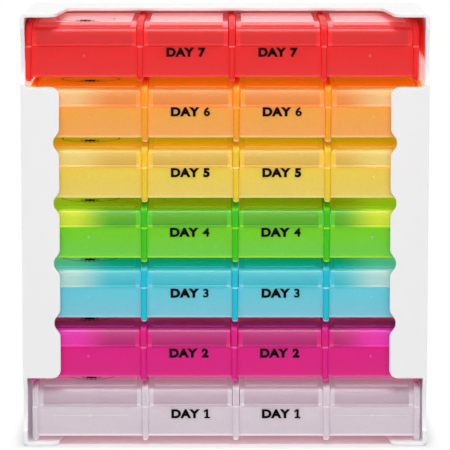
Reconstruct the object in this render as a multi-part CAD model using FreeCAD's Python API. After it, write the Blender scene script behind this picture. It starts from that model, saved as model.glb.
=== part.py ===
import FreeCAD, Part
import math
import os

# A weekly pill organiser: a white holder with a stack of seven day trays, four lidded cells each.
# Sizes are in millimetres. X runs to the right, Y from the open front to the back, and Z up.
# The origin is the middle of the holder's footprint, on the surface that it stands on.

# Counts
day_count = 7
cell_count = 4

# Tray: its front is the face of the ribs, its foot is the lower edge of the ribs
wide_cell = 35.7          # rib to rib, first cell from the left
cell_pitch = 29.4         # rib to rib, the other cells
rib_thickness = 1.9       # the partitions and end walls, up to the seam
rib_swell = 0.1           # added to each side of a rib above the seam
rib_step = 0.2            # a rib's front steps back by this above the seam
rib_proud = 1.0           # the ribs stand in front of the panels and lids by this
rib_round = 0.7           # rounding of a rib's lower and front edges
rib_top_round = 0.45      # rounding of a rib's top edges
end_round = 1.5           # rounding of the outer top edge of an end wall
foot_lead = 2.2           # rounding of a rib's lower front and back corners, seen from the side
tray_depth = 50.2
tray_height = 19.4        # foot to the top of the ribs
foot_height = 1.5         # foot to the underside of the floor
seam_height = 11.3        # foot to the seam between the base and the lids
floor_thickness = 1.2
panel_thickness = 1.3     # the base's front wall
back_thickness = 1.2
cell_round = 2.0          # rounding inside the bottom of a cell
panel_round = 0.5         # rounding of the front wall's lower edge

# Lid: a cap with a front apron and two side aprons, hinged at the back
lid_wall = 1.1
lid_gap = 0.25            # beside a lid, to each rib
lid_drop = 0.5            # rib tops to the lid's top pad
seam_gap = 0.15
crown_drop = 1.6          # the lid's front edge lies lower than its top by this
crown_run = 7.0           # over this length
crown_radius = 40.0
brow_radius = 2.6         # rounding between the top and the front
pad_rise = 0.35           # the flat pad on the lid's top
pad_side = 1.7            # from the lid's side edge to the pad
pad_front = 2.6           # from the lid's front to the pad
pad_back = 2.0            # from the pad to the hinge axis
nail_proud = 0.3          # the small ledge for a fingernail along the lid's lower front edge
nail_height = 0.7
apron_taper = 2.5         # the side aprons' back ends lean forward by this

# Hinge
barrel_radius = 1.5
barrel_gap = 0.4          # barrel to the tray's back, and to the back wall's top
apron_gap = 1.0           # side apron to the barrel
pin_radius = 0.8
pin_play = 0.06           # radial, in the hinge eye
pin_tip_gap = 0.5         # between two pins that meet in one rib

# Stack and holder
stack_gap = 0.1           # foot to the ribs below
side_play = 1.1           # tray to holder, each side
front_play = 0.6
back_play = 0.6
head_room = 1.3           # above the top tray
sit_share = [0.36, -0.1, 0.1, 0.18, 0.36, 0.45, -0.82]   # share of the side play, days 1 to 7
wall = 1.3
holder_round = 2.0        # outer corners of the holder
holder_edge = 0.4         # small rounding of the holder's front rim
jamb_width = 12.2         # the front strips that keep the middle trays in
jamb_margin = 1.5         # a strip ends short of the top and bottom trays by this
jamb_round = 2.8
scallop_depth = 1.9
scallop_mouth = 7.4       # height where the scallop's flanks meet the strip's edge
scallop_floor = 2.2       # height of its deepest part
scallop_round = 2.6
relief_depth = 2.8        # the side walls' front edges curve back beside the top and bottom trays
relief_lead = 5.0
relief_round = 3.6
relief_corner = 3.0       # the relief stays this far from the top and bottom plates
recess_depth = 32.4       # the finger recess in the top and bottom plates
recess_mouth = 54.0       # half its width at the front
recess_end = 51.4         # half its width at its back
recess_round = 4.0

# Aids
least_flat = 0.05         # flat left between two roundings of one wall
least_round = 0.3         # a rounding inside a wall is never smaller
overshoot = 1.0           # how far a cutting solid reaches past what it cuts

# Worked out
rib_places = [0.0]
for cell in range(cell_count):
    rib_places.append(rib_places[-1] + (wide_cell if cell == 0 else cell_pitch))
tray_width = rib_places[-1] + rib_thickness
rib_middles = [place - rib_places[-1] / 2 for place in rib_places]
upper_thickness = rib_thickness + 2 * rib_swell
pitch = tray_height + stack_gap
lid_top = tray_height - lid_drop
skin_top = lid_top - pad_rise
hinge_y = tray_depth - barrel_gap - barrel_radius
hinge_z = skin_top - barrel_radius
back_top = hinge_z - barrel_radius - barrel_gap
pin_engagement = (upper_thickness - pin_tip_gap) / 2
holder_width = tray_width + 2 * (side_play + wall)
holder_depth = tray_depth + front_play + back_play + 2 * wall
stack_height = pitch * (day_count - 1) + tray_height
holder_height = stack_height + head_room + 2 * wall
front = -holder_depth / 2
jamb_low = wall + pitch + jamb_margin
jamb_high = wall + pitch * (day_count - 1) - jamb_margin


def block(x0, x1, y0, y1, z0, z1):
    return Part.makeBox(x1 - x0, y1 - y0, z1 - z0, FreeCAD.Vector(x0, y0, z0))


def outline(corners):
    """A closed wire through (point, radius) corners, each rounded by an arc of its radius."""
    stretches = []
    for index, (point, radius) in enumerate(corners):
        back = (corners[index - 1][0] - point).normalize()
        ahead = (corners[(index + 1) % len(corners)][0] - point).normalize()
        if radius == 0:
            stretches.append((point, None, point))
            continue
        half = back.getAngle(ahead) / 2
        bisector = (back + ahead).normalize()
        reach = radius / math.tan(half)
        middle = point + bisector * (radius / math.sin(half) - radius)
        stretches.append((point + back * reach, middle, point + ahead * reach))
    edges = []
    for index, (start, middle, end) in enumerate(stretches):
        if middle is not None:
            edges.append(Part.Arc(start, middle, end).toShape())
        following = stretches[(index + 1) % len(stretches)][0]
        if end.distanceToPoint(following) > 1e-6:
            edges.append(Part.LineSegment(end, following).toShape())
    return Part.Wire(edges)


def side_prism(corners, x0, x1):
    """A solid between x0 and x1, from (y, z, radius) corners."""
    wire = outline([(FreeCAD.Vector(x0, y, z), radius) for y, z, radius in corners])
    return Part.Face(wire).extrude(FreeCAD.Vector(x1 - x0, 0, 0))


def front_prism(corners, y0, y1):
    """A solid between y0 and y1, from (x, z, radius) corners."""
    wire = outline([(FreeCAD.Vector(x, y0, z), radius) for x, z, radius in corners])
    return Part.Face(wire).extrude(FreeCAD.Vector(0, y1 - y0, 0))


def plan_prism(corners, z0, z1):
    """A solid between z0 and z1, from (x, y, radius) corners."""
    wire = outline([(FreeCAD.Vector(x, y, z0), radius) for x, y, radius in corners])
    return Part.Face(wire).extrude(FreeCAD.Vector(0, 0, z1 - z0))


def edges_where(shape, test):
    return [edge for edge in shape.Edges if test(edge.BoundBox)]


def near(a, b):
    return abs(a - b) < 1e-4


def rib_foot(middle):
    """A rib from its foot to the seam, with rounded lower and front edges."""
    x0 = middle - rib_thickness / 2
    x1 = middle + rib_thickness / 2
    corners = [
        (0, 0, foot_lead),
        (tray_depth, 0, foot_lead),
        (tray_depth, seam_height, 0),
        (0, seam_height, 0),
    ]
    solid = side_prism(corners, x0, x1)
    rim = edges_where(solid, lambda box: near(box.XMin, box.XMax) and not near(box.ZMin, seam_height)
                      and not near(box.YMin, tray_depth))
    return solid.makeFillet(min(rib_round, (rib_thickness - least_flat) / 2), rim)


def rib_head(middle, outer_side):
    """A rib above the seam. outer_side is -1 or 1 on an end wall and 0 on a partition."""
    x0 = middle - upper_thickness / 2 if outer_side >= 0 else middle - rib_thickness / 2
    x1 = middle + upper_thickness / 2 if outer_side <= 0 else middle + rib_thickness / 2
    corners = [
        (rib_step, seam_height, 0),
        (rib_step, tray_height - crown_drop, brow_radius),
        (rib_step + crown_run, tray_height, crown_radius),
        (tray_depth, tray_height, brow_radius),
        (tray_depth, seam_height, 0),
    ]
    solid = side_prism(corners, x0, x1)

    def on_side(box, x):
        return near(box.XMin, x) and near(box.XMax, x) and box.ZMax > seam_height + 1e-3

    for x, side in ((x0, -1), (x1, 1)):
        limit = x1 - x0 - rib_top_round - least_flat
        radius = min(end_round, limit) if side == outer_side else rib_top_round
        solid = solid.makeFillet(radius, edges_where(solid, lambda box: on_side(box, x)))
    return solid


def cell_pocket(x0, x1):
    """The space inside a cell of the base, rounded at its bottom."""
    y0 = rib_proud + panel_thickness
    y1 = tray_depth - back_thickness
    floor = foot_height + floor_thickness
    pocket = block(x0, x1, y0, y1, floor, tray_height + overshoot)
    lower = edges_where(pocket, lambda box: near(box.ZMin, floor))
    return pocket.makeFillet(cell_round, lower)


def tray_base():
    """The lower moulding of a tray: floor, front and back walls, partitions and end walls."""
    first = rib_middles[0]
    last = rib_middles[-1]
    shell = block(first, last, rib_proud, tray_depth, foot_height, seam_height)
    shell = shell.makeFillet(panel_round, edges_where(
        shell, lambda box: near(box.YMax, rib_proud) and near(box.ZMax, foot_height)))
    solid = shell.fuse(block(first, last, tray_depth - back_thickness, tray_depth,
                             seam_height, back_top))
    for left, right in zip(rib_middles[:-1], rib_middles[1:]):
        solid = solid.cut(cell_pocket(left + rib_thickness / 2, right - rib_thickness / 2))
    ribs = []
    for index, middle in enumerate(rib_middles):
        outer_side = -1 if index == 0 else (1 if index == cell_count else 0)
        ribs.append(rib_foot(middle))
        ribs.append(rib_head(middle, outer_side))
    solid = solid.multiFuse(ribs)
    for index, middle in enumerate(rib_middles):
        solid = solid.cut(hinge_eye(index, middle))
    return solid.removeSplitter()


def hinge_eye(index, middle):
    """The hole for the lids' pins: right through a partition, blind in an end wall."""
    radius = pin_radius + pin_play
    inner_face = upper_thickness / 2
    blind_end = inner_face - pin_engagement - pin_tip_gap / 2
    x0 = middle + (blind_end if index == 0 else -inner_face - overshoot)
    x1 = middle + (-blind_end if index == cell_count else inner_face + overshoot)
    return Part.makeCylinder(radius, x1 - x0, FreeCAD.Vector(x0, hinge_y, hinge_z),
                             FreeCAD.Vector(1, 0, 0))


def lid(left, right):
    """A lid between two ribs whose faces above the seam are at left and right."""
    x0 = left + lid_gap
    x1 = right - lid_gap
    low = seam_height + seam_gap
    brow = skin_top - crown_drop
    slope = math.atan2(crown_drop, crown_run)
    apron_end = hinge_y - barrel_radius - apron_gap
    cap = side_prism([
        (rib_proud, low, 0),
        (rib_proud, brow, brow_radius),
        (rib_proud + crown_run, skin_top, crown_radius),
        (hinge_y, skin_top, 0),
        (hinge_y, skin_top - lid_wall, 0),
        (apron_end, skin_top - lid_wall, 0),
        (apron_end - apron_taper, low, 0),
    ], x0, x1)
    pad = side_prism([
        (rib_proud, low, 0),
        (rib_proud, brow + pad_rise, brow_radius),
        (rib_proud + crown_run, skin_top + pad_rise, crown_radius),
        (hinge_y - pad_back, skin_top + pad_rise, 0),
        (hinge_y - pad_back, low, 0),
    ], x0 + pad_side, x1 - pad_side)
    pad = pad.common(block(x0, x1, rib_proud + pad_front, tray_depth, low, tray_height))
    inner_top = skin_top - lid_wall
    inner_run = rib_proud + crown_run + lid_wall * math.tan(slope / 2)
    inner_brow = inner_top - (inner_run - rib_proud - lid_wall) * math.tan(slope)
    hollow = side_prism([
        (rib_proud + lid_wall, low - overshoot, 0),
        (rib_proud + lid_wall, inner_brow, max(brow_radius - lid_wall, least_round)),
        (inner_run, inner_top, crown_radius - lid_wall),
        (hinge_y, inner_top, 0),
        (hinge_y, low - overshoot, 0),
    ], x0 + lid_wall, x1 - lid_wall)
    nail_ledge = side_prism([
        (rib_proud + lid_wall / 2, low, 0),
        (rib_proud - nail_proud, low, nail_proud / 2),
        (rib_proud - nail_proud, low + nail_height, nail_proud / 2),
        (rib_proud + lid_wall / 2, low + nail_height, 0),
    ], x0 + lid_wall, x1 - lid_wall)
    along = FreeCAD.Vector(1, 0, 0)
    barrel = Part.makeCylinder(barrel_radius, x1 - x0, FreeCAD.Vector(x0, hinge_y, hinge_z), along)
    reach = lid_gap + pin_engagement
    pins = Part.makeCylinder(pin_radius, x1 - x0 + 2 * reach,
                             FreeCAD.Vector(x0 - reach, hinge_y, hinge_z), along)
    solid = cap.fuse(pad).cut(hollow)
    return solid.multiFuse([nail_ledge, barrel, pins]).removeSplitter()


def holder_jamb(side):
    """The front strip on one side, with a scallop at each place where two middle trays meet."""
    outer = holder_width / 2 - wall / 2
    inner = holder_width / 2 - jamb_width
    edge = [(outer, jamb_low, 0), (inner, jamb_low, jamb_round)]
    first_scalloped = 3
    for day in range(first_scalloped, day_count):
        level = wall + pitch * (day - 1)
        edge.append((inner, level - scallop_mouth / 2, scallop_round))
        edge.append((inner + scallop_depth, level - scallop_floor / 2, scallop_round))
        edge.append((inner + scallop_depth, level + scallop_floor / 2, scallop_round))
        edge.append((inner, level + scallop_mouth / 2, scallop_round))
    edge += [(inner, jamb_high, jamb_round), (outer, jamb_high, 0)]
    return front_prism([(side * x, z, radius) for x, z, radius in edge], front, front + wall)


def wall_relief(low, high):
    """Cuts the side walls' front edges back between two heights, with smooth leads."""
    ahead = front - overshoot
    deep = front + relief_depth
    corners = [
        (ahead, low, 0),
        (front, low, relief_round),
        (deep, low + relief_lead, relief_round),
        (deep, high - relief_lead, relief_round),
        (front, high, relief_round),
        (ahead, high, 0),
    ]
    return side_prism(corners, -holder_width, holder_width)


def finger_recess(z0, z1):
    """The recess that lets a finger and thumb take hold of the top or bottom tray."""
    aside = recess_mouth + 2 * recess_round
    back = front + recess_depth
    corners = [
        (-aside, front - overshoot, 0),
        (-aside, front, 0),
        (-recess_mouth, front, recess_round),
        (-recess_end, back, recess_round),
        (recess_end, back, recess_round),
        (recess_mouth, front, recess_round),
        (aside, front, 0),
        (aside, front - overshoot, 0),
    ]
    return plan_prism(corners, z0, z1)


def holder():
    """The white holder: a box with an open front, front strips and two finger recesses."""
    half = holder_width / 2
    outer = block(-half, half, front, -front, 0, holder_height)
    outer = outer.makeFillet(holder_round, edges_where(
        outer, lambda box: not near(box.YMax, front)))
    mouth = front - overshoot
    inner = block(-half + wall, half - wall, mouth, -front - wall, wall, holder_height - wall)
    inner = inner.makeFillet(max(holder_round - wall, least_round), edges_where(
        inner, lambda box: not near(box.YMax, mouth)))
    solid = outer.cut(inner)
    top_inside = holder_height - wall
    for low, high in ((wall + relief_corner, jamb_low), (jamb_high, top_inside - relief_corner)):
        solid = solid.cut(wall_relief(low, high))
    solid = solid.multiFuse([holder_jamb(-1), holder_jamb(1)]).removeSplitter()
    for low in (0, holder_height - wall):
        solid = solid.cut(finger_recess(low - overshoot, low + wall + overshoot))
    rim = edges_where(solid, lambda box: near(box.YMin, front) and near(box.YMax, front))
    return solid.makeFillet(holder_edge, rim)


def save(shape, name):
    shape.exportStep("parts/" + name + ".step")
    print(name, "solids", len(shape.Solids), "valid", shape.isValid(), "volume", round(shape.Volume, 1))


os.makedirs("parts", exist_ok=True)
save(holder(), "holder")
base = tray_base()
lids = []
for left, right in zip(rib_middles[:-1], rib_middles[1:]):
    lids.append(lid(left + upper_thickness / 2, right - upper_thickness / 2))
for day in range(1, day_count + 1):
    share = sit_share[(day - 1) % len(sit_share)]
    place = FreeCAD.Vector(share * side_play, front + wall + front_play, wall + pitch * (day - 1))
    name = "tray_day{}".format(day)
    save(base.translated(place), name + "_base")
    for cell, cap in enumerate(lids):
        save(cap.translated(place), "{}_lid_{}".format(name, cell + 1))
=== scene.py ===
import math

import bpy
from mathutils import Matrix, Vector
from mathutils.bvhtree import BVHTree


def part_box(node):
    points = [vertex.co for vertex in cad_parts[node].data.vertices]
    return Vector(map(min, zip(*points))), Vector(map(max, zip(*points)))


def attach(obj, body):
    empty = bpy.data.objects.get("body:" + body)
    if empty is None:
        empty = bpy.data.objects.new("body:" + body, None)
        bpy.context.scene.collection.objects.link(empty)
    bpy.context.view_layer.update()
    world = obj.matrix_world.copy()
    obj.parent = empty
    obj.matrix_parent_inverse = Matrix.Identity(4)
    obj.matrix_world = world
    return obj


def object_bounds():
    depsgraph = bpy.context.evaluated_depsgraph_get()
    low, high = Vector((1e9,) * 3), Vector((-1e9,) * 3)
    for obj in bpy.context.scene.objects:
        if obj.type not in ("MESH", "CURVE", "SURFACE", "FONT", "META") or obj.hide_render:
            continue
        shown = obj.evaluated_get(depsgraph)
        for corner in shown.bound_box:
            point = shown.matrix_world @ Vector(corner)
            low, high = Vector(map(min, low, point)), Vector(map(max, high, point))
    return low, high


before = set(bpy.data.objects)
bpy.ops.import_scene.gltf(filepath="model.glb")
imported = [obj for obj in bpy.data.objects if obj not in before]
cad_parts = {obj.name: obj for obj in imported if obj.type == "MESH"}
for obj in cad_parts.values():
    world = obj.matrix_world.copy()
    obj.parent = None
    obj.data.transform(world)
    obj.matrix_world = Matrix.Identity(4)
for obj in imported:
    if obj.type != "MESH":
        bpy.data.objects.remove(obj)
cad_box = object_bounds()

# A weekly pill organiser: a white holder with seven translucent trays, four lidded cells each.
# Everything is in metres, in the frame's own axes: X to the right, Y to the back, Z up.

MM = 0.001
DAYS = range(1, 8)
BOTTOM_DAY = 1
TOP_DAY = 7
LIDS = range(1, 5)
MIDDLE_LIDS = (2, 3)
OUTER_LIDS = (1, 4)

# Places on a tray
SEAM_HEIGHT = 11.3 * MM         # the seam between the base and the lids, above the tray's foot
PANEL_FOOT = 1.5 * MM           # lower edge of the front panels
RIB_PROUD = 1.0 * MM            # the ribs stand in front of the panels by this
RIB_PLACES = [place * MM for place in (-61.95, -26.25, 3.15, 32.55, 61.95)]     # from the tray's middle
PANEL_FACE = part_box("tray_day1_base")[0].y + RIB_PROUD

# Zones of a tray: each one begins at the first value and is complete at the second.
# Distance behind the face of the panels
RIB_FACE = (-0.25 * MM, -0.55 * MM)     # the ribs' fronts
SLIT_FRONT = (0.1 * MM, 0.5 * MM)       # the gaps between the ribs and the lids' aprons
COVER_FRONT = (1.3 * MM, 2.0 * MM)      # a lid's top
DEEP_IN = (5.5 * MM, 10 * MM)           # its inner part
FAR_IN = (14 * MM, 28 * MM)             # the same on the top tray
# Distance from the middle of the nearest rib
RIB_EDGE = (0.45 * MM, 0.8 * MM)        # a rib's rounded edges, darkened with painted shade
SLIT_REACH = (1.5 * MM, 1.4 * MM)
APRON_GHOST_REACH = (2.75 * MM, 2.55 * MM)      # the paler ends of an apron, beside the ribs
# Distance from the tray's middle
OUTER_END = (36 * MM, 50 * MM)          # the aprons' ends towards the holder's sides
WINDOW_END = (54.5 * MM, 50 * MM)       # the pads between the corners of the holder's top plate, where the top tray gets a painted patch of light from the plate's window
# Height above the tray's foot
PANEL_LOW = (SEAM_HEIGHT, PANEL_FOOT)   # a panel, more and more towards its foot
# the lowest strip of a panel, where a bright line is painted
PANEL_LIP = (PANEL_FOOT + 0.9 * MM, PANEL_FOOT + 0.45 * MM)
# the top strip of a base's panel, where a bright line is painted
SEAM_LINE = (SEAM_HEIGHT - 0.45 * MM, SEAM_HEIGHT - 0.3 * MM)
APRON_END = (SEAM_HEIGHT + 1.1 * MM, SEAM_HEIGHT + 0.8 * MM)        # the foot of the paler ends, where a bright line is painted
# the upper part of an apron, where a painted highlight fades down from the lid's brow
APRON_HIGH = (12.5 * MM, 16 * MM)
APRON_GHOST_TOP = (17.6 * MM, 16.4 * MM)
SLIT_TOP = (16.6 * MM, 15.6 * MM)
COVER_FOOT = (16.2 * MM, 16.8 * MM)
PAD_TOP = (18.62 * MM, 18.72 * MM)      # the flat pad on a lid
# Distance from the seam
RIB_SEAM = (0.30 * MM, 0.18 * MM)       # the painted bright line across a rib
SEAM_GAP = (0.4 * MM, 0.3 * MM)         # the gap under a lid
# How far a surface faces up, down, up or down, and to a side: 1 is all the way
UPWARD = (0.35, 0.85)
DOWNWARD = (-0.6, -0.9)
FLAT = (0.5, 0.9)
SIDEWAYS = (0.80, 0.95)

# Printing
INK_THICKNESS = 0.04 * MM
CAP_HEIGHT = 3.0 * MM           # printed capitals
# Height of the capitals' middle above each tray's foot, in millimetres
CAP_MIDDLES = {1: 8.85, 2: 9.35, 3: 9.5, 4: 9.85, 5: 9.7, 6: 9.85, 7: 9.4}
LETTER_WIDTH = 1.12             # letters are widened by this
LETTER_SPACING = 1.08
LETTER_WEIGHT = 0.055           # share of the letter size added to each side of a stroke
NUMBER_WEIGHTS = {3: 0.03, 4: 0.03, 6: 0.03}
# The figure 1, with a flag and a foot, in shares of a capital's height
FIGURE_ONE = [(0.04, 0.0), (0.60, 0.0), (0.60, 0.17), (0.43, 0.17), (0.43, 1.0), (0.25, 1.0),
              (0.0, 0.84), (0.0, 0.62), (0.21, 0.76), (0.21, 0.17), (0.04, 0.17)]
WORD_SPACE = 0.30               # between the word and the number, in letter sizes
RING_RADIUS = 9.5 * MM          # printed ring on the wide lid
RING_LINE = 0.3 * MM
RING_STEPS = 120                # corners around it
RING_DEPTH = 17.2 * MM          # ring's centre, behind the lid's front
SUN_DEPTH = 11.2 * MM           # small sun printed inside the ring, near its front
SUN_RADIUS = 1.9 * MM
SUN_REACH = 3.4 * MM            # its rays' outer ends
RAY_COUNT = 12
RAY_GAP = 0.4 * MM              # between the sun and its rays
RAY_WIDTH = 0.75 * MM
RAY_TAPER = 1 / 3               # a ray's outer end, as a share of its width
DROP_HEIGHT = 5 * MM            # the printing is laid on a lid from this high above it
GATE_RADIUS = 0.5 * MM          # round mark of the mould's gate in a panel's middle
GATE_STEPS = 24                 # corners around it
GATE_FLAT = 0.8                 # radius of its flat top, as a share
GATE_HEIGHT = 8.3 * MM          # above the tray's foot
GATE_PROUD = 0.06 * MM
FLOW_LENGTH = 24.5 * MM         # faint line through the gate mark of the lowest tray
FLOW_WIDTH = 0.3 * MM
# Round mark on the holder's back: radius and height of each of its rings, from the outside in
HOLDER_GATE = [(4.0 * MM, 0.0), (3.7 * MM, 0.25 * MM), (1.4 * MM, 0.25 * MM), (1.2 * MM, 0.6 * MM)]
HOLDER_GATE_STEPS = 48

# Camera, lamps, floor and world
CAMERA_DISTANCE = 1000 * MM     # in front of the holder's middle
CAMERA_HEIGHT = 205.7 * MM
CAMERA_TILT = math.radians(7.80)
CAMERA_LENS = 244.7             # millimetres
SENSOR_WIDTH = 36               # millimetres
LAMP_AIM = (0, 0, 0.07)         # the middle of the holder
# Each softbox's place, size and power, and whether glossy surfaces mirror it
SOFTBOXES = {
    "front": ((0, -1.25, 0.42), 0.9, 5.5, False),
    "top": ((0, -0.33, 1.12), 0.62, 7.0, True),
    "back": ((0, 1.3, 0.5), 0.9, 4.6, False),
    "left": ((-1.3, 0.15, 0.5), 0.9, 4.6, False),
    "right": ((1.3, 0.15, 0.5), 0.9, 4.6, False),
}
WORLD_LEVEL = 0.22
FLOOR_REACH = 6.0
FLOOR_ROUGHNESS = 0.6
SHADOW_REACH = 5 * MM           # the holder's shadow fades out this far from it
DIFFUSE_BOUNCES = 24            # light passes on many times between the trays
ALL_BOUNCES = 32


def display(red, green, blue):
    """A colour given as it shows on a screen, 0 to 255, as the linear values that shaders use."""
    linear = []
    for value in (red, green, blue):
        share = value / 255
        linear.append(share / 12.92 if share <= 0.04045 else ((share + 0.055) / 1.055) ** 2.4)
    return (*linear, 1.0)


WHITE = (1.0, 1.0, 1.0)
DARK = (0.0, 0.0, 0.0, 1.0)
HOLDER_WHITE = display(237, 237, 238)
FLOOR_WHITE = display(240, 240, 240)
WORD_COLOUR = display(12, 9, 9)
SUN_COLOUR = display(28, 20, 20)

# Each tray's plastic where it is thick and clear, and how milky it is where it is thin
DEEP_COLOURS = {
    1: display(222, 211, 220),
    2: display(228, 20, 142),
    3: display(20, 200, 220),
    4: display(68, 205, 8),
    5: display(244, 210, 50),
    6: display(255, 171, 36),
    7: display(244, 40, 42),
}
MILK = {1: 0.02, 2: 0.0, 3: 0.15, 4: 0.16, 5: 0.08, 6: 0.06, 7: 0.0}
# Tint of the milkiness where it isn't white: by the seam, and low on a panel
HAZES = {4: (1.0, 1.0, 0.05), 5: (1.0, 0.95, 0.8)}
LOW_HAZES = {2: (1.0, 0.5, 1.0), 3: (1.0, 0.84, 0.90), 4: (0.66, 0.95, 0.32)}
# The lids' aprons, where two layers of plastic lie behind each other; the colours also hold painted shade
# from the dark hollow under each lid
APRON_COLOURS = {
    1: display(198, 178, 191),
    2: display(189, 10, 122),
    3: display(71, 192, 206),
    4: display(93, 178, 13),
    5: display(226, 185, 82),
    6: display(238, 148, 64),
    7: display(223, 34, 36),
}
# Pale ends of the lids' aprons, where light comes in past the holder's front strips
END_COLOURS = {
    2: display(255, 48, 182),
    3: display(186, 222, 218),
    4: display(216, 236, 50),
    5: display(254, 216, 126),
    6: display(255, 200, 138),
}

# How bright a zone is, as a share of the deep colour or of the apron's own
PANEL_LEVEL = 0.99
PANEL_LOW_LEVEL = 0.90
RIB_LEVEL = 0.88
# painted shade on a rib's rounded edges
RIB_EDGE_LEVEL = 0.74
RIB_EDGE_LEVELS = {1: 0.92}     # where it differs from the other trays
# the upper part of an apron is brighter: a painted highlight
APRON_HIGH_LEVEL = 1.05
APRON_GHOST_LEVEL = 0.97
COVER_LEVEL = 0.8
PAD_LEVEL = 0.9
# Milkiness of the zones that are paler than the plastic around them; on edges, seams, the aprons' upper
# parts and the pads it is partly painted highlight or reflection
PANEL_LOW_MILK = (1.4, 0.015)   # the tray's own, times the first and plus the second
# Painted bright lines along the lower edges of the panels and of the aprons' ends, added to the tray's own
# milkiness
LOWER_EDGE_HIGHLIGHT = {1: 0.5, 2: 0.06, 3: 0.14, 4: 0.18, 5: 0.22, 6: 0.18, 7: 0.05}
PANEL_TOP_HIGHLIGHT = {1: 0.25}           # a painted bright line along a panel's upper edge, added
RIB_SEAM_HIGHLIGHT = 0.15            # a painted bright line across a rib at the seam, added
APRON_HIGHLIGHT_HAZE = 0.04          # painted highlight on an apron's upper part, as a pale haze; none on the top tray
PAD_FROST_AND_GLARE = {1: 0.2, 7: 0.4}     # the pads on the lids of the trays that slide out: frosted, and paler still as a painted reflection of bright light at a glancing view
GATE_MILK = 0.05                # added
BOTTOM_GATE_MILK = 0.28         # added

# Light that the clear plastic carries into the narrow spaces between and inside the trays
SLIT_GLOW = 0.17                # as a share of the deep colour, like the next
BROW_GLOW = 0.18                # at the front of a lid's top
BROW_GLOWS = {
    1: display(88, 98, 100),
    2: display(38, 0, 0),
    4: display(104, 79, 0),
    7: display(112, 40, 40),
}
COVER_GLOWS = {                 # further in on a lid's top
    1: display(110, 92, 100),
    2: display(118, 0, 12),
    3: display(0, 99, 75),
    4: display(90, 88, 0),
    5: display(60, 110, 0),
    6: display(80, 86, 0),
    # on the top tray: a painted patch of light and reflection on the pads, where the holder's window lets
    # light in
    7: display(150, 112, 114),
}
END_GLOW = 0.13                 # more of it at the lids' outer ends
END_GLOW_DAYS = (3, 4)
FLOOR_GLOW = 0.06               # under a tray, as a share of the deep colour
FOOT_GLOW = display(101, 62, 70)        # under the lowest tray
# Light through the holder's thin side walls, beside the upper trays
WALL_GLOW = display(182, 168, 165)
WALL_INSIDE = (64.3 * MM, 64.1 * MM)        # distance from the middle
WALL_GLOW_FOOT = (104 * MM, 112 * MM)       # height
WALL_GLOW_TOP = (126.5 * MM, 124.0 * MM)    # height

# Finish
PLASTIC_IOR = 1.49
SCATTER_LENGTH = 3.0 * MM       # how far light spreads in the trays' plastic
TRAY_SKIN = (0.30, 0.12)        # roughness, and strength of the fine texture
HOLDER_SKIN = (0.32, 0.1)
SKIN_DEPTH = 0.03 * MM
GRAIN_SHARE = 0.6               # the fine grain's height beside that of the slow wave
ROUGHNESS_DRIFT = 0.10
SPECKLE = 0.16                  # fine mottling of the plastic, as a share of its colour
SHEEN = {"base": 0.22, "lid": 0.38}             # specular level
TOP_ROUGHNESS = {"base": 0.1, "lid": -0.16}     # added where the surface faces up
PAD_ROUGHNESS = 0.1
GATE_ROUGHNESS = 0.45
GATE_SHEEN = 0.3
INK_ROUGHNESS = 0.8
INK_SHEEN = 0.05


# Shader parts

# Sockets of a Mix node that are for colours, by number
MIX_SHARE = 0
MIX_FIRST = 6
MIX_SECOND = 7
MIX_RESULT = 2


def link(tree, source, target):
    """Joins two sockets."""
    tree.links.new(source, target)


def node(tree, kind, **settings):
    """A new node with these settings."""
    made = tree.nodes.new(kind)
    for name, value in settings.items():
        setattr(made, name, value)
    return made


def work_out(tree, operation, *values):
    """One Math node: each value is a socket or a number."""
    made = node(tree, "ShaderNodeMath", operation=operation)
    for socket, value in zip(made.inputs, values):
        if isinstance(value, (int, float)):
            socket.default_value = value
        else:
            link(tree, value, socket)
    return made.outputs[0]


def times(tree, product, *others):
    """All the values multiplied together."""
    for other in others:
        product = work_out(tree, "MULTIPLY", product, other)
    return product


def unsigned(tree, value):
    """The value without its sign."""
    return work_out(tree, "ABSOLUTE", value)


def ramp(tree, value, limits):
    """0 at the first limit and 1 at the second, smooth between them."""
    made = node(tree, "ShaderNodeMapRange", interpolation_type="SMOOTHSTEP")
    made.inputs["From Min"].default_value = limits[0]
    made.inputs["From Max"].default_value = limits[1]
    link(tree, value, made.inputs["Value"])
    return made.outputs[0]


def split_up(tree, source):
    """The X, Y and Z of a surface's place, from "Object", or of the way it faces, from "Normal"."""
    split = node(tree, "ShaderNodeSeparateXYZ")
    link(tree, node(tree, "ShaderNodeTexCoord").outputs[source], split.inputs[0])
    return split.outputs


def blend_colours(tree, share, first, second):
    """The first colour where the share is 0, the second where it is 1."""
    made = node(tree, "ShaderNodeMix", data_type="RGBA")
    for socket, value in ((MIX_SHARE, share), (MIX_FIRST, first), (MIX_SECOND, second)):
        if isinstance(value, (int, float, tuple)):
            made.inputs[socket].default_value = value
        else:
            link(tree, value, made.inputs[socket])
    return made.outputs[MIX_RESULT]


def group_with(name, inputs, outputs):
    """An empty node group with these sockets: {name: default} in, and names out."""
    group = bpy.data.node_groups.new(name, "ShaderNodeTree")
    for socket, value in inputs.items():
        made = group.interface.new_socket(socket, in_out="INPUT", socket_type="NodeSocketFloat")
        made.default_value = value
    for socket in outputs:
        group.interface.new_socket(socket, in_out="OUTPUT", socket_type="NodeSocketFloat")
    return group, node(group, "NodeGroupInput").outputs, node(group, "NodeGroupOutput").inputs


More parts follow.
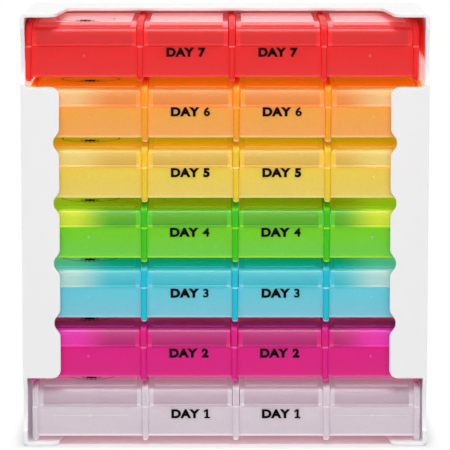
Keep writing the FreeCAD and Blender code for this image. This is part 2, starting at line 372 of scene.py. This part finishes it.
def moulded_skin_group():
    """Fine moulded texture: a height for bump, a roughness that drifts a little, and a speckle."""
    group, given, result = group_with(
        "moulded_skin",
        {"Grain fineness": 900.0, "Wave fineness": 60.0, "Speckle fineness": 2600.0, "Roughness": 0.3},
        ("Height", "Roughness", "Speckle"))
    place = node(group, "ShaderNodeTexCoord").outputs["Object"]
    noise = {}
    for name, detail in (("Grain", 3.0), ("Wave", 2.0), ("Speckle", 1.0)):
        made = node(group, "ShaderNodeTexNoise")
        made.inputs["Detail"].default_value = detail
        link(group, place, made.inputs["Vector"])
        link(group, given[f"{name} fineness"], made.inputs["Scale"])
        noise[name] = made.outputs["Fac"]
    link(group, work_out(group, "MULTIPLY_ADD", noise["Grain"], GRAIN_SHARE, noise["Wave"]),
         result["Height"])
    link(group, work_out(group, "MULTIPLY_ADD", noise["Wave"], ROUGHNESS_DRIFT, given["Roughness"]),
         result["Roughness"])
    link(group, work_out(group, "MULTIPLY_ADD", noise["Speckle"], SPECKLE, 1.0 - SPECKLE / 2),
         result["Speckle"])
    return group


def tray_zones_group():
    """Masks for the zones of a tray, from a point's place on it and the way the surface faces."""
    group, given, result = group_with(
        "tray_zones",
        {"Foot": 0.0, "Middle": 0.0},
        ("Rib face", "Rib edge", "Rib seam", "Panel low", "Panel lip", "Seam line", "Apron high",
         "Apron ghost", "Apron end", "Outer end", "Cover", "Pad", "Window", "Deep in", "Far in",
         "Slit", "Upward", "Underside"))
    place = split_up(group, "Object")
    facing = split_up(group, "Normal")
    across = work_out(group, "SUBTRACT", place["X"], given["Middle"])
    height = work_out(group, "SUBTRACT", place["Z"], given["Foot"])
    behind = work_out(group, "SUBTRACT", place["Y"], PANEL_FACE)
    aside = unsigned(group, across)
    from_seam = unsigned(group, work_out(group, "SUBTRACT", height, SEAM_HEIGHT))
    to_ribs = [unsigned(group, work_out(group, "SUBTRACT", across, rib)) for rib in RIB_PLACES]
    from_rib = to_ribs[0]
    for to_rib in to_ribs[1:]:
        from_rib = work_out(group, "MINIMUM", from_rib, to_rib)

    rib_face = ramp(group, behind, RIB_FACE)
    apron_ghost = times(group, ramp(group, from_rib, APRON_GHOST_REACH),
                        ramp(group, height, APRON_GHOST_TOP))
    pad = ramp(group, height, PAD_TOP)
    beside_rib = times(group, ramp(group, unsigned(group, facing["X"]), SIDEWAYS),
                       ramp(group, from_rib, SLIT_REACH), ramp(group, behind, SLIT_FRONT),
                       ramp(group, height, SLIT_TOP))
    under_lid = times(group, ramp(group, from_seam, SEAM_GAP),
                      ramp(group, unsigned(group, facing["Z"]), FLAT))
    masks = {
        "Rib face": rib_face,
        "Rib edge": times(group, rib_face, ramp(group, from_rib, RIB_EDGE)),
        "Rib seam": times(group, rib_face, ramp(group, from_seam, RIB_SEAM)),
        "Panel low": ramp(group, height, PANEL_LOW),
        "Panel lip": ramp(group, height, PANEL_LIP),
        "Seam line": ramp(group, height, SEAM_LINE),
        "Apron high": ramp(group, height, APRON_HIGH),
        "Apron ghost": apron_ghost,
        "Apron end": times(group, apron_ghost, ramp(group, height, APRON_END)),
        "Outer end": ramp(group, aside, OUTER_END),
        "Cover": times(group, ramp(group, height, COVER_FOOT), ramp(group, behind, COVER_FRONT)),
        "Pad": pad,
        "Window": times(group, pad, ramp(group, aside, WINDOW_END)),
        "Deep in": ramp(group, behind, DEEP_IN),
        "Far in": ramp(group, behind, FAR_IN),
        "Slit": work_out(group, "MAXIMUM", beside_rib, under_lid),
        "Upward": ramp(group, facing["Z"], UPWARD),
        "Underside": ramp(group, facing["Z"], DOWNWARD),
    }
    for name, mask in masks.items():
        link(group, mask, result[name])
    return group


MOULDED_SKIN = moulded_skin_group()
TRAY_ZONES = tray_zones_group()


def new_material(name):
    """A new material: itself, its node tree and its shader. Its glow isn't sampled as a lamp's."""
    made = bpy.data.materials.new(name)
    made.cycles.emission_sampling = "NONE"
    made.use_nodes = True
    shader = made.node_tree.nodes["Principled BSDF"]
    return made, made.node_tree, shader


def add_skin(tree, shader, roughness, strength):
    """The moulded texture as bump; its roughness and speckle are left to be joined."""
    skin = node(tree, "ShaderNodeGroup", node_tree=MOULDED_SKIN)
    skin.inputs["Roughness"].default_value = roughness
    bump = node(tree, "ShaderNodeBump")
    bump.inputs["Strength"].default_value = strength
    bump.inputs["Distance"].default_value = SKIN_DEPTH
    link(tree, skin.outputs["Height"], bump.inputs["Height"])
    link(tree, bump.outputs["Normal"], shader.inputs["Normal"])
    return skin.outputs


def tinted(colour, level, milk=0.0, haze=WHITE):
    """A colour made darker or lighter by level, then mixed with a pale haze by the share milk."""
    return (*(channel * level * (1 - milk) + milk * pale for channel, pale in zip(colour, haze)), 1.0)


def base_colours(day):
    """The colours of a tray's base, zone by zone, each over those before it."""
    deep, milk, haze = DEEP_COLOURS[day], MILK[day], HAZES.get(day, WHITE)
    more, added = PANEL_LOW_MILK
    return tinted(deep, PANEL_LEVEL, milk, haze), {
        "Panel low": tinted(deep, PANEL_LOW_LEVEL, milk * more + added, LOW_HAZES.get(day, WHITE)),
        # painted bright line along the panel's lower edge
        "Panel lip": tinted(deep, 1.0, milk + LOWER_EDGE_HIGHLIGHT[day], haze),
        # painted bright line along the panel's upper edge
        "Seam line": tinted(deep, 1.0, milk + PANEL_TOP_HIGHLIGHT.get(day, 0.0), haze),
        "Rib face": tinted(deep, RIB_LEVEL),
        # painted shade on the rib's rounded edges
        "Rib edge": tinted(deep, RIB_EDGE_LEVELS.get(day, RIB_EDGE_LEVEL)),
        "Upward": tinted(deep, RIB_LEVEL),
        # painted bright line across a rib at the seam
        "Rib seam": tinted(deep, 1.0, milk + RIB_SEAM_HIGHLIGHT, haze),
    }


def lid_colours(day):
    """The colours of a tray's lids, zone by zone, each over those before it."""
    deep, milk, haze = DEEP_COLOURS[day], MILK[day], HAZES.get(day, WHITE)
    pale = tuple((1 + channel) / 2 for channel in haze)
    # An apron's upper part gets a painted highlight, paler near the lid's brow
    highlight_haze = 0.0 if day == TOP_DAY else APRON_HIGHLIGHT_HAZE
    zones = {"Apron high": tinted(APRON_COLOURS[day], APRON_HIGH_LEVEL, highlight_haze, pale)}
    if day in END_COLOURS:
        zones["Outer end"] = END_COLOURS[day]
    zones["Apron ghost"] = tinted(deep, APRON_GHOST_LEVEL, milk / 2, haze)
    # painted bright line at the foot of the apron's paler ends
    zones["Apron end"] = tinted(deep, 1.0, milk + LOWER_EDGE_HIGHLIGHT[day], haze)
    zones["Cover"] = tinted(deep, COVER_LEVEL)
    # A pad's paleness is its frosted finish and a painted reflection
    zones["Pad"] = tinted(deep, PAD_LEVEL, PAD_FROST_AND_GLARE.get(day, 0.0))
    return APRON_COLOURS[day], zones


def tray_glow(tree, masks, day, part):
    """The light in the narrow spaces around a tray's base or lids; dark everywhere else."""
    deep = DEEP_COLOURS[day]
    shine = blend_colours(tree, masks["Slit"], DARK, tinted(deep, SLIT_GLOW, MILK[day] / 2))
    if part == "base":
        under = FOOT_GLOW if day == BOTTOM_DAY else tinted(deep, FLOOR_GLOW)
        return blend_colours(tree, masks["Underside"], shine, under)
    # On the top tray the glow further in is a painted patch of light, only on the pads under the holder's
    # window
    share = times(tree, masks["Far in"], masks["Window"]) if day == TOP_DAY else masks["Deep in"]
    near = BROW_GLOWS.get(day, tinted(deep, BROW_GLOW))
    glow = blend_colours(tree, share, near, COVER_GLOWS[day])
    if day in END_GLOW_DAYS:
        beside = tuple(inner + END_GLOW * outer for inner, outer in zip(COVER_GLOWS[day], END_COLOURS[day]))
        glow = blend_colours(tree, masks["Outer end"], glow, beside)
    return blend_colours(tree, masks["Cover"], shine, glow)


def tray_plastic(day, part):
    """The plastic of one tray, for its base or its lids."""
    made, tree, shader = new_material(f"tray_plastic_{day}_{part}")
    low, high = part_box(f"tray_day{day}_base")
    zones = node(tree, "ShaderNodeGroup", node_tree=TRAY_ZONES)
    zones.inputs["Foot"].default_value = low.z
    zones.inputs["Middle"].default_value = (low.x + high.x) / 2
    masks = zones.outputs
    colour, zone_colours = base_colours(day) if part == "base" else lid_colours(day)
    for zone, own_colour in zone_colours.items():
        colour = blend_colours(tree, masks[zone], colour, own_colour)
    skin = add_skin(tree, shader, *TRAY_SKIN)
    speckled = node(tree, "ShaderNodeVectorMath", operation="SCALE")
    link(tree, colour, speckled.inputs[0])
    link(tree, skin["Speckle"], speckled.inputs["Scale"])
    link(tree, speckled.outputs[0], shader.inputs["Base Color"])
    link(tree, tray_glow(tree, masks, day, part), shader.inputs["Emission Color"])
    shader.inputs["Emission Strength"].default_value = 1.0
    shader.inputs["IOR"].default_value = PLASTIC_IOR
    shader.inputs["Specular IOR Level"].default_value = SHEEN[part]
    shader.inputs["Subsurface Weight"].default_value = 1.0
    shader.inputs["Subsurface Radius"].default_value = (1.0, 1.0, 1.0)
    shader.inputs["Subsurface Scale"].default_value = SCATTER_LENGTH
    roughness = work_out(tree, "MULTIPLY_ADD", masks["Upward"], TOP_ROUGHNESS[part], skin["Roughness"])
    roughness = work_out(tree, "MULTIPLY_ADD", masks["Pad"], PAD_ROUGHNESS, roughness)
    link(tree, roughness, shader.inputs["Roughness"])
    return made


def holder_plastic():
    """White plastic that glows faintly inside the side walls, beside the upper trays."""
    made, tree, shader = new_material("holder_white_plastic")
    shader.inputs["Base Color"].default_value = HOLDER_WHITE
    shader.inputs["IOR"].default_value = PLASTIC_IOR
    skin = add_skin(tree, shader, *HOLDER_SKIN)
    link(tree, skin["Roughness"], shader.inputs["Roughness"])
    place = split_up(tree, "Object")
    facing = split_up(tree, "Normal")
    beside_trays = times(tree, ramp(tree, unsigned(tree, place["X"]), WALL_INSIDE),
                         ramp(tree, unsigned(tree, facing["X"]), SIDEWAYS),
                         ramp(tree, place["Z"], WALL_GLOW_FOOT), ramp(tree, place["Z"], WALL_GLOW_TOP))
    shine = blend_colours(tree, beside_trays, DARK, WALL_GLOW)
    link(tree, shine, shader.inputs["Emission Color"])
    shader.inputs["Emission Strength"].default_value = 1.0
    return made


def plain_material(name, colour, roughness, sheen):
    """A material for a small mark: one colour, roughness and sheen."""
    made, tree, shader = new_material(name)
    shader.inputs["Base Color"].default_value = colour
    shader.inputs["Roughness"].default_value = roughness
    shader.inputs["Specular IOR Level"].default_value = sheen
    return made


def gate_plastic(day):
    """The paler, duller plastic of a gate mark."""
    more = BOTTOM_GATE_MILK if day == BOTTOM_DAY else GATE_MILK
    return plain_material(f"gate_mark_{day}", tinted(DEEP_COLOURS[day], 1.0, MILK[day] + more),
                          GATE_ROUGHNESS, GATE_SHEEN)


# Dress the frame's own nodes

BLACK_INK = plain_material("black_ink", WORD_COLOUR, INK_ROUGHNESS, INK_SHEEN)
GREY_INK = plain_material("grey_ink", SUN_COLOUR, INK_ROUGHNESS, INK_SHEEN)
HOLDER_PLASTIC = holder_plastic()
TRAY_PLASTICS = {(day, part): tray_plastic(day, part) for day in DAYS for part in ("base", "lid")}


def dress(part, material):
    """Gives a part its one material."""
    part.data.materials.clear()
    part.data.materials.append(material)


dress(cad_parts["holder"], HOLDER_PLASTIC)
for day in DAYS:
    dress(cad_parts[f"tray_day{day}_base"], TRAY_PLASTICS[day, "base"])
    for lid in LIDS:
        dress(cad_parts[f"tray_day{day}_lid_{lid}"], TRAY_PLASTICS[day, "lid"])


# Printing and moulding marks


def add_piece(name, corners, faces, material, body):
    """A new piece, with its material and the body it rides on."""
    mesh = bpy.data.meshes.new(name)
    mesh.from_pydata(corners, [], faces)
    mesh.update()
    piece = bpy.data.objects.new(name, mesh)
    bpy.context.scene.collection.objects.link(piece)
    dress(piece, material)
    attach(piece, body)


def add_to_tray(day, name, corners, faces, material):
    """A new piece of a tray."""
    body = {BOTTOM_DAY: "bottom_tray", TOP_DAY: "top_tray"}.get(day, "holder_and_stack")
    add_piece(f"tray_day{day}_{name}", corners, faces, material, body)


def join_shape(corners, faces, more_corners, more_faces):
    """Adds a shape's corners and faces to the lists of another."""
    start = len(corners)
    corners += more_corners
    faces += [[start + index for index in face] for face in more_faces]


def turn(middle, radius, angle):
    """The point at this angle on a circle."""
    return (middle[0] + radius * math.cos(angle), middle[1] + radius * math.sin(angle))


def letter_shapes(words, weight):
    """Flat letters one unit high: their corners, and faces as lists of corner numbers."""
    writing = bpy.data.curves.new("letters", "FONT")
    writing.body = words
    writing.size = 1.0
    writing.offset = weight
    writing.space_character = LETTER_SPACING
    carrier = bpy.data.objects.new("letters", writing)
    bpy.context.scene.collection.objects.link(carrier)
    bpy.context.view_layer.update()
    flat = bpy.data.meshes.new_from_object(carrier.evaluated_get(bpy.context.evaluated_depsgraph_get()))
    bpy.data.objects.remove(carrier)
    bpy.data.curves.remove(writing)
    corners = [(corner.co.x, corner.co.y) for corner in flat.vertices]
    faces = [list(face.vertices) for face in flat.polygons]
    bpy.data.meshes.remove(flat)
    return corners, faces


def day_shapes(day):
    """The word DAY and its number, set side by side."""
    corners, faces = letter_shapes("DAY", LETTER_WEIGHT)
    if day == 1:
        low, high = min(z for x, z in corners), max(z for x, z in corners)
        number = [(x * (high - low), low + z * (high - low)) for x, z in FIGURE_ONE]
        number_faces = [list(range(len(number)))]
    else:
        number, number_faces = letter_shapes(str(day), NUMBER_WEIGHTS.get(day, LETTER_WEIGHT))
    shift = max(x for x, z in corners) + WORD_SPACE - min(x for x, z in number)
    join_shape(corners, faces, [(x + shift, z) for x, z in number], number_faces)
    return corners, faces


def printed_words(day):
    """The day's name, printed on the two middle panels."""
    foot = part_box(f"tray_day{day}_base")[0].z
    middle_z = foot + CAP_MIDDLES[day] * MM
    points, shapes = day_shapes(day)
    middle = [(min(p[axis] for p in points) + max(p[axis] for p in points)) / 2 for axis in (0, 1)]
    scale = CAP_HEIGHT / (2 * (max(p[1] for p in points) - middle[1]))
    corners, faces = [], []
    for lid in MIDDLE_LIDS:
        low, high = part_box(f"tray_day{day}_lid_{lid}")
        middle_x = (low.x + high.x) / 2
        word = [(middle_x + (x - middle[0]) * scale * LETTER_WIDTH, PANEL_FACE - INK_THICKNESS,
                 middle_z + (z - middle[1]) * scale) for x, z in points]
        join_shape(corners, faces, word, shapes)
    add_to_tray(day, "words", corners, faces, BLACK_INK)


def flat_ring(middle, inner, outer, count):
    """A flat ring in plan: corners and faces."""
    corners = []
    for step in range(count):
        angle = math.tau * step / count
        corners += [turn(middle, inner, angle), turn(middle, outer, angle)]
    faces = []
    for step in range(count):
        ahead = (step + 1) % count
        faces.append([2 * step, 2 * step + 1, 2 * ahead + 1, 2 * ahead])
    return corners, faces


def flat_sun(middle):
    """A round sun with short rays, flat in plan."""
    count = 4 * RAY_COUNT
    corners = [turn(middle, SUN_RADIUS, math.tau * step / count) for step in range(count)]
    faces = [list(range(count))]
    for ray in range(RAY_COUNT):
        angle = math.tau * ray / RAY_COUNT
        aside = Vector((-math.sin(angle), math.cos(angle))) * RAY_WIDTH / 2
        root = Vector(turn(middle, SUN_RADIUS + RAY_GAP, angle))
        tip = Vector(turn(middle, SUN_REACH, angle))
        outline = (root - aside, tip - aside * RAY_TAPER, tip + aside * RAY_TAPER, root + aside)
        join_shape(corners, faces, [tuple(corner) for corner in outline], [[0, 1, 2, 3]])
    return corners, faces


def printed_sun(day):
    """A thin ring and a small sun, printed on the pad of the wide lid and lying on its surface."""
    name = f"tray_day{day}_lid_1"
    low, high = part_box(name)
    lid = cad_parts[name]
    surface = BVHTree.FromObject(lid, bpy.context.evaluated_depsgraph_get())
    middle_x = (low.x + high.x) / 2
    corners, faces = flat_ring((middle_x, low.y + RING_DEPTH), RING_RADIUS - RING_LINE, RING_RADIUS,
                               RING_STEPS)
    join_shape(corners, faces, *flat_sun((middle_x, low.y + SUN_DEPTH)))
    lying = []
    for x, y in corners:
        above = lid.matrix_world.inverted() @ Vector((x, y, high.z + DROP_HEIGHT))
        spot = surface.ray_cast(above, Vector((0, 0, -1)))[0]
        lying.append((x, y, (lid.matrix_world @ spot).z + INK_THICKNESS))
    add_to_tray(day, "printed_sun", lying, faces, GREY_INK)


def disc(middle, rings, face_y, way, count):
    """A low round mark on an upright face; way is -1 where that is the front, and 1 at the back."""
    corners = []
    for radius, proud in rings:
        for step in range(count):
            x, z = turn(middle, radius, math.tau * step / count)
            corners.append((x, face_y + way * proud, z))
    faces = [list(range(len(corners) - count, len(corners)))]
    for outer in range(0, len(corners) - count, count):
        inner = outer + count
        for step in range(count):
            ahead = (step + 1) % count
            faces.append([outer + step, outer + ahead, inner + ahead, inner + step])
    if way > 0:
        for face in faces:
            face.reverse()
    return corners, faces


def holder_gate_mark():
    """The wide, low disc that the holder's mould leaves in the middle of the back."""
    low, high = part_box("holder")
    middle = ((low.x + high.x) / 2, (low.z + high.z) / 2)
    corners, faces = disc(middle, HOLDER_GATE, high.y, 1, HOLDER_GATE_STEPS)
    add_piece("holder_gate_mark", corners, faces, HOLDER_PLASTIC, "holder_and_stack")


def gate_marks(day):
    """The small round marks that the mould's gates leave in the two outer panels."""
    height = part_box(f"tray_day{day}_base")[0].z + GATE_HEIGHT
    rings = ((GATE_RADIUS, 0.0), (GATE_RADIUS * GATE_FLAT, GATE_PROUD))
    corners, faces = [], []
    for lid in OUTER_LIDS:
        low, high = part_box(f"tray_day{day}_lid_{lid}")
        middle = ((low.x + high.x) / 2, height)
        join_shape(corners, faces, *disc(middle, rings, PANEL_FACE, -1, GATE_STEPS))
        if day == BOTTOM_DAY:
            flow = [(middle[0] + across * FLOW_LENGTH / 2, PANEL_FACE - GATE_PROUD / 2,
                     height + up * FLOW_WIDTH / 2) for across, up in ((-1, -1), (1, -1), (1, 1), (-1, 1))]
            join_shape(corners, faces, flow, [[0, 1, 2, 3]])
    add_to_tray(day, "gate_marks", corners, faces, gate_plastic(day))


holder_gate_mark()
for day in DAYS:
    printed_words(day)
    printed_sun(day)
    gate_marks(day)


# Floor, world, lamps and camera


def seen_rays(tree):
    """1 for the rays that show a surface or the world, directly, in gloss or through glass."""
    rays = node(tree, "ShaderNodeLightPath").outputs
    seen = work_out(tree, "MAXIMUM", rays["Is Camera Ray"], rays["Is Glossy Ray"])
    return work_out(tree, "MAXIMUM", seen, rays["Is Transmission Ray"])


def mix_to_output(tree, share, own, white, output):
    """The tree's own shader, with the white one over it by the share."""
    mix = node(tree, "ShaderNodeMixShader")
    link(tree, share, mix.inputs["Fac"])
    link(tree, own.outputs[0], mix.inputs[1])
    link(tree, white.outputs[0], mix.inputs[2])
    link(tree, mix.outputs[0], tree.nodes[output].inputs["Surface"])


def pale_floor():
    """A floor that keeps the holder's shadow close to it and shows white further off."""
    made, tree, shader = new_material("pale_floor")
    shader.inputs["Base Color"].default_value = FLOOR_WHITE
    shader.inputs["Roughness"].default_value = FLOOR_ROUGHNESS
    place = split_up(tree, "Object")
    beside = work_out(tree, "SUBTRACT", unsigned(tree, place["X"]), cad_box[1].x)
    before = work_out(tree, "SUBTRACT", unsigned(tree, place["Y"]), cad_box[1].y)
    far = ramp(tree, work_out(tree, "MAXIMUM", beside, before), (0.0, SHADOW_REACH))
    share = times(tree, seen_rays(tree), far)
    mix_to_output(tree, share, shader, node(tree, "ShaderNodeEmission"), "Material Output")
    return made


def floor():
    """The pale floor under the object."""
    mesh = bpy.data.meshes.new("floor")
    corners = [(across * FLOOR_REACH, along * FLOOR_REACH, 0)
               for across, along in ((-1, -1), (1, -1), (1, 1), (-1, 1))]
    mesh.from_pydata(corners, [], [(0, 1, 2, 3)])
    piece = bpy.data.objects.new("floor", mesh)
    bpy.context.scene.collection.objects.link(piece)
    dress(piece, pale_floor())


def surround():
    """A world that lights the object softly and shows white."""
    world = bpy.data.worlds.new("surround")
    bpy.context.scene.world = world
    world.use_nodes = True
    tree = world.node_tree
    soft = tree.nodes["Background"]
    white = node(tree, "ShaderNodeBackground")
    for light, level in ((soft, WORLD_LEVEL), (white, 1.0)):
        light.inputs["Color"].default_value = (*WHITE, 1.0)
        light.inputs["Strength"].default_value = level
    mix_to_output(tree, seen_rays(tree), soft, white, "World Output")


def softbox(name, place, size, power, mirrored):
    """A square lamp that points at the object."""
    lamp = bpy.data.lights.new(name, "AREA")
    lamp.shape = "SQUARE"
    lamp.size = size
    lamp.energy = power
    stand = bpy.data.objects.new(name, lamp)
    stand.location = place
    stand.rotation_euler = (Vector(LAMP_AIM) - Vector(place)).to_track_quat("-Z", "Y").to_euler()
    stand.visible_glossy = mirrored
    bpy.context.scene.collection.objects.link(stand)


def camera():
    """A long lens in front of the object, a little above it."""
    made = bpy.data.cameras.new("camera")
    made.lens = CAMERA_LENS
    made.sensor_width = SENSOR_WIDTH
    stand = bpy.data.objects.new("camera", made)
    stand.location = (0, -CAMERA_DISTANCE, CAMERA_HEIGHT)
    stand.rotation_euler = (math.radians(90) - CAMERA_TILT, 0, 0)
    bpy.context.scene.collection.objects.link(stand)
    bpy.context.scene.camera = stand


floor()
surround()
for lamp_name, settings in SOFTBOXES.items():
    softbox(lamp_name, *settings)
camera()
bpy.context.scene.view_settings.view_transform = "Standard"
bpy.context.scene.cycles.diffuse_bounces = DIFFUSE_BOUNCES
bpy.context.scene.cycles.max_bounces = ALL_BOUNCES
